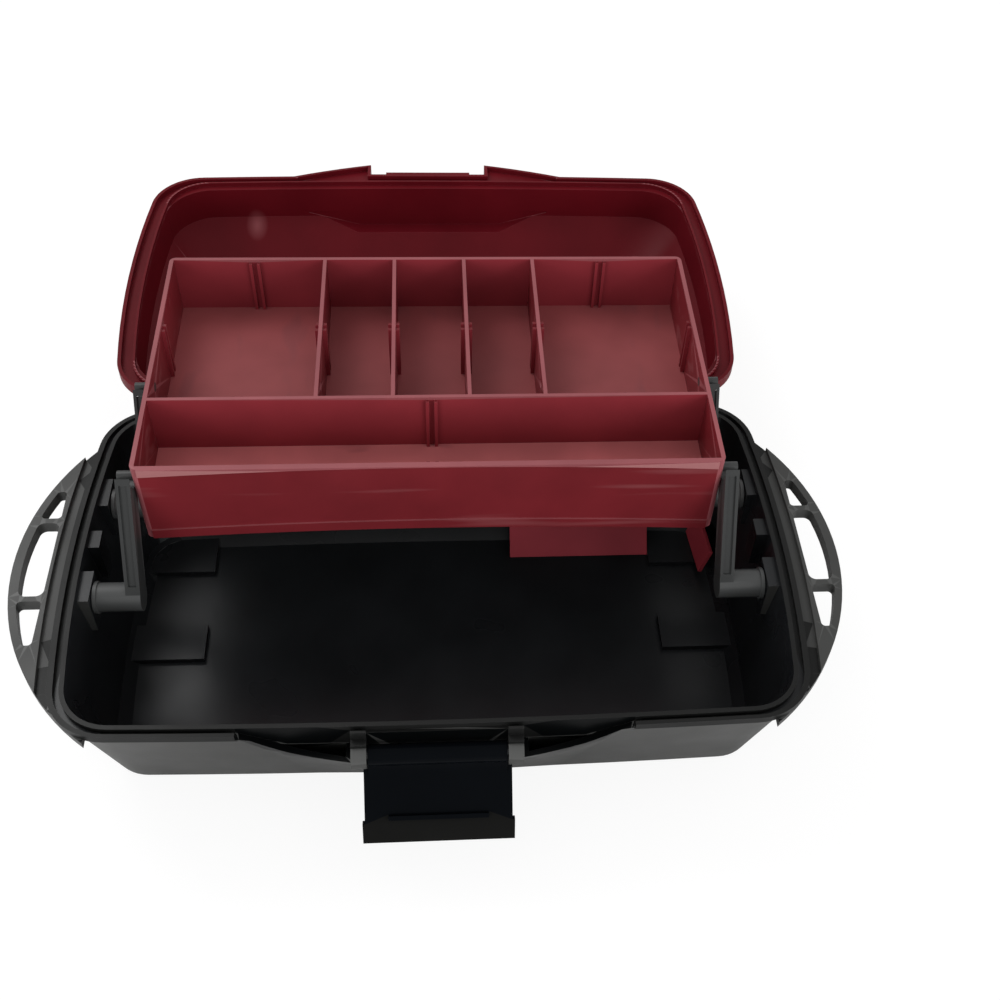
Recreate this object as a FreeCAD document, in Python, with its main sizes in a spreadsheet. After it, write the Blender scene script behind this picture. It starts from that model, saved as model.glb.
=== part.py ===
import FreeCAD, Part
import math
import os

import Sketcher
from FreeCAD import Placement, Rotation, Vector
from types import SimpleNamespace

# One-tray cantilever tackle box with its lid laid back and its tray raised.
# Frame: origin at the middle of the tub's underside, X right, Y back, Z up, millimetres.

SIZES = {
    # tub shell
    "tub_height": 76.5,
    "floor_thick": 2.5,
    "tray_side_room": 27.5,
    "mouth_half_depth": 90.8,
    "mouth_corner": 21,
    "lip_thick": 2,
    "end_lean": 5.2,
    "side_lean": 17.65,
    "base_corner": 18.7,
    "base_wall": 2.4,
    "base_round": 4.9,
    "end_bow_radius": 620,
    "side_bow_radius": 4200,
    # rim: seal groove and the band outside it
    "groove_length_width": 2.7,
    "groove_depth_width": 1.9,
    "groove_deep": 3,
    "band_length_width": 2.5,
    "band_depth_width": 1.8,
    "band_low": 0.4,
    "band_tall": 3.5,
    "band_overhang": 0.5,
    # carrying wings at both ends
    "wing_gap": 0.4,
    "wing_width": 17.6,
    "wing_root": 26.4,
    "wing_half_span": 91.2,
    "wing_forward": 3.5,
    "wing_drop": 1.2,
    "wing_thick": 6,
    "wing_shelf": 3.7,
    "slot_inset": 1.4,
    "slot_rim": 4.2,
    "slot_bend": 3.4,
    "long_slot_half": 21.1,
    "slot_web": 2.8,
    "short_slot_rim": 3.4,
    "short_slot_tip": 3.9,
    "short_slot_bend": 1.8,
    # bulge in front with the recess above it, and lugs around the latch
    "bulge_half_width": 82,
    "bulge_reach": 111.5,
    "bulge_foot_half": 62,
    "bulge_foot_proud": 0.7,
    "bulge_wall": 2.2,
    "bulge_side_wall": 4,
    "bulge_pocket_floor": 24,
    "recess_floor": 64,
    "recess_end": 73.3,
    "recess_flat_half": 62,
    "latch_bay_half": 35.6,
    "latch_bay_foot": 8,
    "latch_bay_plate": 7,
    "latch_bay_gap": 0.5,
    "lug_inner": 29.2,
    "lug_radius": 5.6,
    # sockets and pads inside the tub
    "socket_inset": 5.5,
    "socket_half_width": 8.5,
    "socket_foot": 52,
    "socket_drop": 3,
    "stop_rib_place": 12.5,
    "stop_rib_half_width": 5,
    "pad_tall": 3,
    "pad_start": 113.6,
    "pad_front": -8,
    "pad_front_back": 13,
    "pad_rear": 46.5,
    # lid hinge
    "hinge_back": 106.4,
    "lid_lip_open": 65.7,
    "knuckle_radius": 4.6,
    "hinge_pin_radius": 2,
    "hinge_place": 92,
    "lid_knuckle_half": 8,
    "tub_knuckle_length": 8,
    "ear_drop": 5,
    "knuckle_gap": 0.3,
    "running_gap": 0.06,
    # lid
    "lid_gap": 0.3,
    "lid_end_gap": 2.8,
    "lid_lip_drop": 3,
    "lid_lip_thick": 1.9,
    "lid_flange_thick": 3.2,
    "lid_wall_inset": 6.5,
    "lid_wall_rise": 19,
    "lid_wall_draft": 1.5,
    "lid_wall_thick": 2.4,
    "lid_top_half_length": 128,
    "lid_top_half_depth": 56,
    "lid_top_corner": 22,
    "tongue_thick": 1.2,
    "tongue_tall": 2.6,
    "apron_half_width": 86,
    "apron_rise": 11.6,
    "apron_radius": 400,
    "seat_half_width": 35.5,
    "seat_proud": 1.6,
    "seat_bump_half": 77,
    "seat_bump_top_half": 45,
    "seat_bump_rise": 9,
    "tab_half_width": 26,
    "tab_proud": 2,
    # latch
    "latch_height": 64,
    "latch_axis": 99,
    "latch_barrel_radius": 4.5,
    "latch_barrel_half": 28.9,
    "latch_half_width": 31,
    "latch_reach": 21.2,
    "latch_fall": 22,
    "latch_thick": 2.4,
    "latch_offset": 3.9,
    "latch_rib_from_end": 1.6,
    "latch_rib_thick": 2,
    "latch_rib_proud": 1.8,
    "latch_rib_half": 21,
    "latch_lip_half": 32,
    "latch_lip_along": 9.6,
    "latch_lip_turn": 3.5,
    "latch_pin_radius": 1.6,
    # tray
    "tray_front": 10,
    "tray_depth": 146,
    "tray_half_length": 130,
    "tray_lift": 0.5,
    "tray_tall": 45,
    "tray_arch": 4,
    "tray_skirt_run": 48,
    "tray_skirt_rise": 11.5,
    "tray_pocket": 30.5,
    "tray_floor": 2,
    "tray_wall": 2,
    "tray_corner": 3,
    "tray_band": 4.5,
    "tray_bead": 5.5,
    "tray_band_proud": 0.8,
    "front_row_depth": 43.5,
    "divider_outer": 52.6,
    "divider_inner": 17.6,
    "divider_wall": 1.8,
    "rail_gap": 2.4,
    "rail_thick": 1.5,
    "rail_proud": 1.8,
    "rail_low": 1.5,
    "rail_side_place": 88,
    "rail_cross_place": 94,
    # swing arms
    "boss_front": -14.7,
    "boss_drop": 11.3,
    "boss_distance": 56,
    "tray_pivot_in": 5,
    "tray_pivot_drop": 9,
    "arm_gap": 0.6,
    "arm_thick": 6.4,
    "arm_half_width": 6,
    "arm_channel": 1,
    "arm_wall": 1.4,
    "arm_head_wall": 3,
    "boss_radius": 6.6,
    "socket_gap": 0.4,
    "journal_radius": 4,
    "journal_length": 2.6,
    "collar_ring_radius": 7.4,
    "collar_ring_thick": 1.6,
    "tray_pin_radius": 2.2,
    # carrying handle
    "handle_half_width": 60,
    "handle_leg": 46,
    "handle_bar": 18,
    "handle_leg_width": 13,
    "handle_thick": 13,
    "handle_round": 4.5,
    "handle_gap": 2.2,
    "stand_gap": 0.15,
    "handle_ear_thick": 6,
    "handle_ear_radius": 6.2,
    "handle_pin_radius": 2.4,
    # loose divider plates
    "plate_thick": 2,
    "plate_tall": 28,
    "plate_play": 0.5,
    "plate_place": 76.7,
    "plate_foot": 53,
    "small_plate_place": 138.5,
    "small_plate_foot": 39,
    "small_plate_turn": 5,
    "small_plate_tall": 16,
    "small_plate_lean": 4,
    "rest_gap": 0.3,
    "overrun": 5,
}


class Size:
    """A number together with the sheet expression that gives it."""

    def __init__(self, number, text):
        self.number = float(number)
        self.text = text

    def __add__(self, other):
        other = as_size(other)
        return Size(self.number + other.number, "(%s + %s)" % (self.text, other.text))

    def __sub__(self, other):
        other = as_size(other)
        return Size(self.number - other.number, "(%s - %s)" % (self.text, other.text))

    def __mul__(self, other):
        other = as_size(other)
        return Size(self.number * other.number, "(%s * %s)" % (self.text, other.text))

    def __truediv__(self, other):
        other = as_size(other)
        return Size(self.number / other.number, "(%s / %s)" % (self.text, other.text))

    def __rmul__(self, other):
        return as_size(other) * self

    def __neg__(self):
        return Size(-self.number, "(0 - %s)" % self.text)


def as_size(value):
    return value if isinstance(value, Size) else Size(value, repr(value))


def square_root(value):
    return Size(math.sqrt(value.number), "sqrt(%s)" % value.text)


def hypotenuse(across, along):
    return square_root(across * across + along * along)


document = FreeCAD.newDocument("tackle_box")
sheet = document.addObject("Spreadsheet::Sheet", "sizes")
for row, (alias, number) in enumerate(SIZES.items(), 1):
    sheet.set("A%d" % row, alias)
    sheet.set("B%d" % row, str(number))
    sheet.setAlias("B%d" % row, alias)
document.recompute()
s = SimpleNamespace(**{alias: Size(sheet.get(alias), "sizes." + alias) for alias in SIZES})
zero = Size(0, "0")

HALF_TURN_LEFT = "half turn left"
HALF_TURN_RIGHT = "half turn right"
PLANES = {
    "XY": Rotation(),
    "XZ": Rotation(Vector(1, 0, 0), 90),
    "YZ": Rotation(Vector(1, 1, 1), 120),
}


def bind(thing, prop, size):
    """Set a property of an object and tie it to the sheet."""
    thing.setExpression(prop, size.text)


def put(thing, x=zero, y=zero, z=zero):
    """Place an object and tie its place to the sheet."""
    base = Vector(x.number, y.number, z.number)
    thing.Placement = Placement(base, thing.Placement.Rotation)
    bind(thing, "Placement.Base.x", x)
    bind(thing, "Placement.Base.y", y)
    bind(thing, "Placement.Base.z", z)
    return thing


def box(name, low, high):
    """A block between two corners."""
    block = document.addObject("Part::Box", name)
    for prop, start, stop in zip(("Length", "Width", "Height"), low, high):
        bind(block, prop, stop - start)
    return put(block, *low)


def rod(name, start, stop, y, z, radius):
    """A round bar along X."""
    bar = document.addObject("Part::Cylinder", name)
    bar.Placement = Placement(Vector(), Rotation(Vector(0, 1, 0), 90))
    bind(bar, "Radius", radius)
    bind(bar, "Height", stop - start)
    return put(bar, start, y, z)


def fuse(name, *pieces):
    joined = document.addObject("Part::MultiFuse", name)
    joined.Shapes = list(pieces)
    return joined


def cut(name, base, *tools):
    tool = tools[0] if len(tools) == 1 else fuse(name + "_cutters", *tools)
    rest = document.addObject("Part::Cut", name)
    rest.Base = base
    rest.Tool = tool
    return rest


def common(name, first, second):
    shared = document.addObject("Part::Common", name)
    shared.Base = first
    shared.Tool = second
    return shared


def centre_of(start, stop, radius):
    """Centre of the arc between two points; a positive radius turns left."""
    middle = (start + stop) * 0.5
    chord = stop - start
    side = Vector(-chord.y, chord.x, 0)
    side.normalize()
    away = math.sqrt(max(radius ** 2 - (chord.Length / 2) ** 2, 0))
    return middle + side * math.copysign(away, radius)


def arc_between(start, stop, radius):
    centre = centre_of(start, stop, radius)
    circle = Part.Circle(centre, Vector(0, 0, 1), abs(radius))
    first, last = (start, stop) if radius > 0 else (stop, start)
    return Part.ArcOfCircle(circle, circle.parameter(first), circle.parameter(last))


def new_sketch(name, plane, offset):
    drawing = document.addObject("Sketcher::SketchObject", name)
    drawing.Placement = Placement(Vector(), PLANES[plane])
    if plane == "XY":
        put(drawing, z=offset)
    elif plane == "XZ":
        put(drawing, y=offset)
    else:
        put(drawing, x=offset)
    return drawing


def tie(drawing, kind, *ends, size):
    """Add a dimension to a sketch and tie it to the sheet."""
    index = drawing.addConstraint(Sketcher.Constraint(kind, *ends, size.number))
    drawing.setExpression("Constraints[%d]" % index, size.text)


def outline(name, plane, offset, corners):
    """A closed outline of corners: x, y and, where an arc leaves it, a radius or half a turn."""
    drawing = new_sketch(name, plane, offset)
    spots = [Vector(corner[0].number, corner[1].number, 0) for corner in corners]
    bends = [corner[2] if len(corner) > 2 else None for corner in corners]
    starts = []
    stops = []
    for index, bend in enumerate(bends):
        start, stop = spots[index], spots[(index + 1) % len(spots)]
        if bend is None:
            drawing.addGeometry(Part.LineSegment(start, stop))
            forward = True
        else:
            half_chord = (stop - start).Length / 2
            reach = {HALF_TURN_LEFT: half_chord, HALF_TURN_RIGHT: -half_chord}
            radius = reach[bend] if bend in reach else bend.number
            drawing.addGeometry(arc_between(start, stop, radius))
            forward = radius > 0
        starts.append(1 if forward else 2)
        stops.append(2 if forward else 1)
    for index, bend in enumerate(bends):
        after = (index + 1) % len(bends)
        link = Sketcher.Constraint("Coincident", index, stops[index], after, starts[after])
        drawing.addConstraint(link)
        tie(drawing, "DistanceX", -1, 1, index, starts[index], size=corners[index][0])
        tie(drawing, "DistanceY", -1, 1, index, starts[index], size=corners[index][1])
        if bend in (HALF_TURN_LEFT, HALF_TURN_RIGHT):
            chord = spots[after] - spots[index]
            axis = 1 if abs(chord.x) > abs(chord.y) else 0
            middle = (corners[index][axis] + corners[after][axis]) / 2
            tie(drawing, ("DistanceX", "DistanceY")[axis], -1, 1, index, 3, size=middle)
        elif bend is not None:
            tie(drawing, "Radius", index, size=bend if bend.number > 0 else -bend)
    return drawing


def corner_centre(half_x, half_y, corner, end_radius, side_radius):
    """Centre of the corner arc that touches the bowed end and the bowed side."""
    x, y = half_x - corner, half_y - corner
    for _ in range(60):
        x = half_x - end_radius + math.sqrt((end_radius - corner) ** 2 - y ** 2)
        y = half_y - side_radius + math.sqrt((side_radius - corner) ** 2 - x ** 2)
    return x, y


def bowed_outline(name, height, half_x, half_y, corner):
    """A rounded oblong whose four sides bow outwards a little."""
    drawing = new_sketch(name, "XY", height)
    ends, sides = s.end_bow_radius, s.side_bow_radius
    numbers = [size.number for size in (half_x, half_y, corner, ends, sides)]
    cx, cy = corner_centre(*numbers)
    end_middle = Vector(half_x.number - ends.number, 0, 0)
    side_middle = Vector(0, half_y.number - sides.number, 0)
    corner_middle = Vector(cx, cy, 0)
    end_turn = math.atan2(corner_middle.y - end_middle.y, corner_middle.x - end_middle.x)
    side_turn = math.atan2(corner_middle.y - side_middle.y, corner_middle.x - side_middle.x)
    up = Vector(0, 0, 1)
    quarter = math.pi / 2
    flip = 2 * quarter
    arcs = [
        (end_middle, ends, -end_turn, end_turn),
        (corner_middle, corner, end_turn, side_turn),
        (side_middle, sides, side_turn, flip - side_turn),
        (Vector(-cx, cy, 0), corner, flip - side_turn, flip - end_turn),
        (-end_middle, ends, flip - end_turn, flip + end_turn),
        (Vector(-cx, -cy, 0), corner, flip + end_turn, flip + side_turn),
        (-side_middle, sides, flip + side_turn, 2 * flip - side_turn),
        (Vector(cx, -cy, 0), corner, 2 * flip - side_turn, 2 * flip - end_turn),
    ]
    for middle, radius, start, stop in arcs:
        drawing.addGeometry(Part.ArcOfCircle(Part.Circle(middle, up, radius.number), start, stop))
    for index, (middle, radius, _, _) in enumerate(arcs):
        drawing.addConstraint(Sketcher.Constraint("Tangent", index, 2, (index + 1) % len(arcs), 1))
        tie(drawing, "Radius", index, size=radius)
    places = {
        0: (half_x - ends, zero),
        2: (zero, half_y - sides),
        4: (ends - half_x, zero),
        6: (zero, sides - half_y),
    }
    for index, (x, y) in places.items():
        tie(drawing, "DistanceX", -1, 1, index, 3, size=x)
        tie(drawing, "DistanceY", -1, 1, index, 3, size=y)
    return drawing


def extrude(name, drawing, length, backwards=False):
    """Push an outline along its own normal."""
    solid = document.addObject("Part::Extrusion", name)
    solid.Base = drawing
    solid.DirMode = "Normal"
    solid.Solid = True
    solid.Reversed = backwards
    bind(solid, "LengthFwd", length)
    return solid


def loft(name, *drawings):
    body = document.addObject("Part::Loft", name)
    body.Sections = list(drawings)
    body.Solid = True
    body.Ruled = True
    return body


def plate_between(name, low, high, half_x, half_y, corner):
    """A level plate with the bowed outline, between two heights."""
    return extrude(name, bowed_outline(name + "_outline", low, half_x, half_y, corner), high - low)


def mirror_x(name, piece):
    """A copy of a piece on the other side of the middle."""
    twin = document.addObject("Part::Mirroring", name)
    twin.Source = piece
    twin.Normal = Vector(1, 0, 0)
    return twin


def both_sides(name, piece):
    return fuse(name, piece, mirror_x(name + "_twin", piece))


nodes = {}


def keep(name, thing):
    """Name a finished sub-part."""
    thing.Label = name
    nodes[name] = thing
    return thing


# places that several sub-parts share
rim_top = s.tub_height
mouth_half_length = s.tray_half_length + s.tray_side_room
base_half_length = mouth_half_length - s.end_lean
base_half_depth = s.mouth_half_depth - s.side_lean
lip_half_x = mouth_half_length + s.lip_thick
lip_half_y = s.mouth_half_depth + s.lip_thick
lip_corner = s.mouth_corner + s.lip_thick
groove_half_x = lip_half_x + s.groove_length_width
groove_half_y = lip_half_y + s.groove_depth_width
groove_corner = lip_corner + s.groove_depth_width
band_half_x = groove_half_x + s.band_length_width
band_half_y = groove_half_y + s.band_depth_width
band_corner = groove_corner + s.band_depth_width
band_foot = rim_top - s.band_low - s.band_tall
wall_top = band_foot + s.band_low
wall_half_y = band_half_y - s.band_overhang
lid_half_x = band_half_x + s.lid_end_gap + s.lid_lip_thick
lid_half_y = band_half_y + s.lid_gap + s.lid_lip_thick
lid_corner = band_corner + s.lid_gap + s.lid_lip_thick
room_half_x = lid_half_x + s.wing_gap
room_half_y = lid_half_y + s.wing_gap
wing_reach = room_half_x + s.wing_width
lid_rim = rim_top + s.lid_gap
lid_lip_edge = lid_rim - s.lid_lip_drop
hinge_height = (lid_lip_edge + s.lid_lip_open) / 2
bore_gap = s.running_gap
socket_face = mouth_half_length - s.socket_inset
boss_height = rim_top - s.boss_drop


def wall_slope(base_half, mouth_half):
    """How far the cavity widens for each millimetre up."""
    return (mouth_half - base_half) / (s.tub_height - s.floor_thick)


floor_half_x = base_half_length - s.base_wall + s.floor_thick * (
    (lip_half_x - base_half_length) / wall_top)
floor_half_y = base_half_depth - s.base_wall + s.floor_thick * (
    (wall_half_y - base_half_depth) / wall_top)


def slot_cutter(name, low, tall, middle, radius, inner, near, far, bend):
    """A slot with a straight inner side and an outer side that follows the wing's edge."""

    def small_arc(end, inward):
        """Centre of the arc at one end of the outer side, and where it meets that side."""
        y = end + bend * inward
        x = middle + square_root((radius - bend) * (radius - bend)
                                 - (y + s.wing_forward) * (y + s.wing_forward))
        spread = radius / (radius - bend)
        return x, middle + (x - middle) * spread, (y + s.wing_forward) * spread - s.wing_forward

    near_x, near_side_x, near_side_y = small_arc(near, 1)
    far_x, far_side_x, far_side_y = small_arc(far, -1)
    corners = [
        (inner + bend, near),
        (near_x, near, bend),
        (near_side_x, near_side_y, radius),
        (far_side_x, far_side_y, bend),
        (far_x, far),
        (inner + bend, far, bend),
        (inner, far - bend),
        (inner, near + bend, bend),
    ]
    return extrude(name, outline(name + "_outline", "XY", low, corners), tall)


def make_wing():
    """The right carrying wing: a round plate, its slots and a shelf under the lid's lip."""
    root = lid_half_x - s.wing_root
    rise = wing_reach - root
    radius = (s.wing_half_span * s.wing_half_span + rise * rise) / (rise * 2)
    middle = wing_reach - radius
    top = rim_top - s.wing_drop
    low = top - s.wing_thick
    disc = document.addObject("Part::Cylinder", "wing_disc")
    bind(disc, "Radius", radius)
    bind(disc, "Height", s.wing_thick)
    put(disc, middle, -s.wing_forward, low)
    keeper = box("wing_keeper", (root, -radius - s.wing_forward, low - s.overrun),
                 (wing_reach + s.overrun, radius, top + s.overrun))
    slot_low = low - s.overrun
    slot_tall = s.wing_thick + s.overrun * 2
    inner = room_half_x + s.slot_inset
    short_radius = radius - s.short_slot_rim
    tip = inner + s.short_slot_tip - middle
    tip_side = square_root(short_radius * short_radius - tip * tip)
    near = s.long_slot_half + s.slot_web
    slots = [
        slot_cutter("long_slot", slot_low, slot_tall, middle, radius - s.slot_rim, inner,
                    -s.long_slot_half, s.long_slot_half, s.slot_bend),
        slot_cutter("rear_slot", slot_low, slot_tall, middle, short_radius, inner, near,
                    tip_side - s.wing_forward, s.short_slot_bend),
        slot_cutter("front_slot", slot_low, slot_tall, middle, short_radius, inner,
                    -tip_side - s.wing_forward, -near, s.short_slot_bend),
    ]
    lid_room = plate_between("lid_room", low + s.wing_shelf, rim_top + s.overrun,
                             room_half_x, room_half_y, lid_corner + s.wing_gap)
    return cut("wing_right", common("wing_blank", disc, keeper), lid_room, *slots)


def make_bulge(wall, recess, bay_room):
    """The hollow bulge of the front wall, open above into the recess."""
    top, foot = rim_top - s.band_low, s.base_round
    reach_foot = base_half_depth + s.bulge_foot_proud
    edge_foot = base_half_depth - s.bulge_foot_proud

    def at(height, low, high):
        return low + (high - low) * ((height - foot) / (top - foot))

    def section(name, height, side, skin):
        half = at(height, s.bulge_foot_half, s.bulge_half_width) - side
        reach = at(height, reach_foot, s.bulge_reach) - skin
        edge = at(height, edge_foot, groove_half_y) - skin
        back = at(height, base_half_depth - s.base_wall, s.mouth_half_depth)
        deep = reach - edge
        bend = (half * half + deep * deep) / (deep * 2)
        return outline(name, "XY", height, [
            (-half, -back),
            (-half, -edge, bend),
            (half, -edge),
            (half, -back),
        ])

    blank = loft("bulge_blank", section("bulge_foot", foot, zero, zero),
                 section("bulge_top", top, zero, zero))
    pocket = loft("bulge_pocket",
                  section("pocket_floor", s.bulge_pocket_floor, s.bulge_side_wall, s.bulge_wall),
                  section("pocket_top", top, s.bulge_side_wall, s.bulge_wall))
    bay_side = s.latch_bay_half + s.bulge_wall
    bay_block = box("bay_block", (-bay_side, -s.bulge_reach, zero), (bay_side, zero, rim_top))
    pocket = cut("bulge_hollow", pocket, wall, bay_block)
    return cut("bulge", blank, pocket, recess, bay_room)


def make_base_tub():
    outer = loft(
        "tub_outer",
        bowed_outline("tub_foot", zero, base_half_length - s.base_round,
                      base_half_depth - s.base_round, s.base_corner - s.base_round),
        bowed_outline("tub_foot_side", s.base_round, base_half_length, base_half_depth,
                      s.base_corner),
        bowed_outline("tub_wall_top", wall_top, lip_half_x, wall_half_y, lip_corner))
    lip = plate_between("rim_lip", band_foot, rim_top, lip_half_x, lip_half_y, lip_corner)
    band = plate_between("rim_band", band_foot, rim_top - s.band_low,
                         band_half_x, band_half_y, band_corner)
    wings = both_sides("wings", make_wing())

    # recess, bulge and bay around the latch
    recess = cut(
        "front_recess",
        extrude("recess_block", outline("recess_outline", "XZ", -s.mouth_half_depth, [
            (-s.bulge_half_width, s.recess_end),
            (-s.recess_flat_half, s.recess_floor),
            (s.recess_flat_half, s.recess_floor),
            (s.bulge_half_width, s.recess_end),
            (s.bulge_half_width, rim_top + s.overrun),
            (-s.bulge_half_width, rim_top + s.overrun),
        ]), s.bulge_reach - s.mouth_half_depth + s.overrun),
        plate_between("recess_back", s.recess_floor - s.overrun, rim_top + s.overrun * 2,
                      lip_half_x, lip_half_y, lip_corner))
    bay_back = s.latch_axis - s.latch_barrel_radius - s.latch_bay_gap
    bay_room = box("bay_room", (-s.latch_bay_half, -s.bulge_reach - s.overrun, -s.overrun),
                   (s.latch_bay_half, -bay_back, rim_top))
    rim = cut("recessed_rim", fuse("rim", outer, lip, band), recess)
    bulge = make_bulge(outer, recess, bay_room)
    bay_plate = box("latch_bay_plate", (-s.latch_bay_half, -bay_back,
                                        s.latch_height - s.latch_bay_foot),
                    (s.latch_bay_half, s.latch_bay_plate - bay_back, rim_top - s.band_low))
    ear_top = rim_top - s.ear_drop
    lug = fuse(
        "lug",
        rod("lug_round", s.lug_inner, s.latch_bay_half, -s.latch_axis, s.latch_height, s.lug_radius),
        box("lug_neck", (s.lug_inner, -s.latch_axis, s.latch_height - s.lug_radius),
            (s.latch_bay_half, s.latch_bay_plate - bay_back, ear_top)),
        box("lug_post", (s.lug_inner, s.rest_gap - wall_half_y, s.latch_height),
            (s.latch_bay_half, -lip_half_y + s.lip_thick / 2, rim_top - s.band_low)))
    lugs = both_sides("latch_lugs", lug)
    latch_pin_hole = rod("latch_pin_hole", -s.latch_bay_half - s.rest_gap,
                         s.latch_bay_half + s.rest_gap, -s.latch_axis, s.latch_height,
                         s.latch_pin_radius + bore_gap)

    # hinge ears behind
    def ear(name, start, stop):
        return fuse(
            name,
            rod(name + "_round", start, stop, s.hinge_back, hinge_height, s.knuckle_radius),
            box(name + "_neck", (start, s.mouth_half_depth, hinge_height - s.knuckle_radius),
                (stop, s.hinge_back, ear_top)))

    ear_start = s.hinge_place + s.lid_knuckle_half + s.knuckle_gap
    ear_stop = s.hinge_place - s.lid_knuckle_half - s.knuckle_gap
    ears = both_sides("hinge_ears", fuse(
        "ear_pair",
        ear("outer_ear", ear_start, ear_start + s.tub_knuckle_length),
        ear("inner_ear", ear_stop - s.tub_knuckle_length, ear_stop)))
    pin_hole = rod("hinge_hole", ear_stop - s.tub_knuckle_length - s.overrun,
                   ear_start + s.tub_knuckle_length + s.overrun, s.hinge_back, hinge_height,
                   s.hinge_pin_radius + bore_gap)
    hinge_holes = both_sides("hinge_holes", pin_hole)

    # cavity, less what stands inside it
    cavity = loft(
        "cavity_walls",
        bowed_outline("cavity_floor", s.floor_thick, floor_half_x - s.base_round,
                      floor_half_y - s.base_round, s.base_corner - s.base_round),
        bowed_outline("cavity_side", s.floor_thick + s.base_round,
                      floor_half_x + s.base_round * wall_slope(floor_half_x, mouth_half_length),
                      floor_half_y + s.base_round * wall_slope(floor_half_y, s.mouth_half_depth),
                      s.base_corner),
        bowed_outline("cavity_mouth", rim_top, mouth_half_length, s.mouth_half_depth,
                      s.mouth_corner))
    above = plate_between("cavity_above", rim_top, rim_top + s.overrun, mouth_half_length,
                          s.mouth_half_depth, s.mouth_corner)
    cavity = fuse("cavity", cavity, above)

    def pad(name, low_x, low_y, high_y, low_z, high_z):
        return box(name, (low_x, low_y, low_z), (room_half_x, high_y, high_z))

    socket_top = rim_top - s.socket_drop
    socket_places = (s.boss_front, s.boss_front + s.boss_distance)
    inside = [pad("socket_%d" % number, socket_face, place - s.socket_half_width,
                  place + s.socket_half_width, s.socket_foot, socket_top)
              for number, place in enumerate(socket_places)]
    inside.append(pad("stop_rib", socket_face, s.stop_rib_place - s.stop_rib_half_width,
                      s.stop_rib_place + s.stop_rib_half_width, s.socket_foot, socket_top))
    inside.append(pad("floor_pad_front", s.pad_start, s.pad_front, s.pad_front_back,
                      zero, s.floor_thick + s.pad_tall))
    inside.append(pad("floor_pad_rear", s.pad_start, s.pad_rear, floor_half_y + s.overrun,
                      zero, s.floor_thick + s.pad_tall))
    inside = both_sides("inside_pads", fuse("inside_pads_right", *inside))
    cavity = cut("cavity_clear", cavity, inside)

    bores = [rod("socket_bore_%d" % number, socket_face - s.overrun,
                 socket_face - s.socket_gap + s.journal_length + s.rest_gap, place,
                 boss_height, s.journal_radius + bore_gap)
             for number, place in enumerate(socket_places)]
    bores = both_sides("socket_bores", fuse("socket_bores_right", *bores))

    groove = cut(
        "seal_groove",
        plate_between("groove_outer", rim_top - s.groove_deep, rim_top + s.overrun,
                      groove_half_x, groove_half_y, groove_corner),
        plate_between("groove_inner", rim_top - s.groove_deep - s.overrun,
                      rim_top + s.overrun * 2, lip_half_x, lip_half_y, lip_corner))

    solid = fuse("tub_solid", rim, wings, bulge, bay_plate, lugs, ears)
    return cut("tub", solid, groove, cavity, bores, latch_pin_hole, hinge_holes)


def flip_open(thing):
    """Turn a piece of the closed lid half a turn about the hinge, to lie open."""
    thing.Placement = Placement(Vector(), Rotation(Vector(1, 0, 0), 180))
    return put(thing, y=s.hinge_back * 2, z=hinge_height * 2)


lid_flange_top = lid_rim + s.lid_flange_thick
lid_top = hinge_height * 2 - s.stand_gap - s.handle_thick - s.handle_gap
handle_axis = lid_top + s.handle_gap + s.handle_thick / 2
latch_length = hypotenuse(s.latch_reach, s.latch_fall)
tab_top = s.latch_height + latch_length - s.latch_rib_from_end - s.latch_rib_thick - s.rest_gap


def lid_blank(name, inset, low, top):
    """The lid's wall and sloping top, drawn in by inset."""
    fold = lid_rim + s.lid_wall_rise
    wall_x = lid_half_x - s.lid_wall_inset - inset
    wall_y = lid_half_y - s.lid_wall_inset - inset
    walls = loft(
        name + "_walls",
        bowed_outline(name + "_rim", low, wall_x, wall_y, lid_corner - inset),
        bowed_outline(name + "_fold", fold, wall_x - s.lid_wall_draft, wall_y - s.lid_wall_draft,
                      lid_corner - inset),
        bowed_outline(name + "_top", top, s.lid_top_half_length - inset,
                      s.lid_top_half_depth - inset, s.lid_top_corner))
    front = -(wall_y - s.lid_wall_draft)
    bump = extrude(name + "_bump", outline(name + "_bump_outline", "XZ", front, [
        (-s.seat_bump_half + inset, fold - s.lid_flange_thick),
        (s.seat_bump_half - inset, fold - s.lid_flange_thick),
        (s.seat_bump_half - inset, fold - inset),
        (s.seat_bump_top_half - inset / 2, fold + s.seat_bump_rise - inset),
        (-s.seat_bump_top_half + inset / 2, fold + s.seat_bump_rise - inset),
        (-s.seat_bump_half + inset, fold - inset),
    ]), s.lid_top_half_depth - inset, backwards=True)
    return fuse(name, walls, bump)


def apron_outline(name, height, inset):
    tip = lid_half_y + s.apron_rise - inset
    seat = lid_half_y + s.seat_proud - inset
    back = lid_half_y - s.lid_wall_inset
    foot = lid_half_y - s.lid_lip_thick
    wide = s.apron_half_width - inset * 3
    notch = s.seat_half_width + inset
    return outline(name, "XY", height, [
        (-wide, -back),
        (-wide, -foot, s.apron_radius),
        (-notch, -tip),
        (-notch, -seat),
        (notch, -seat),
        (notch, -tip, s.apron_radius),
        (wide, -foot),
        (wide, -back),
    ])


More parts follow.
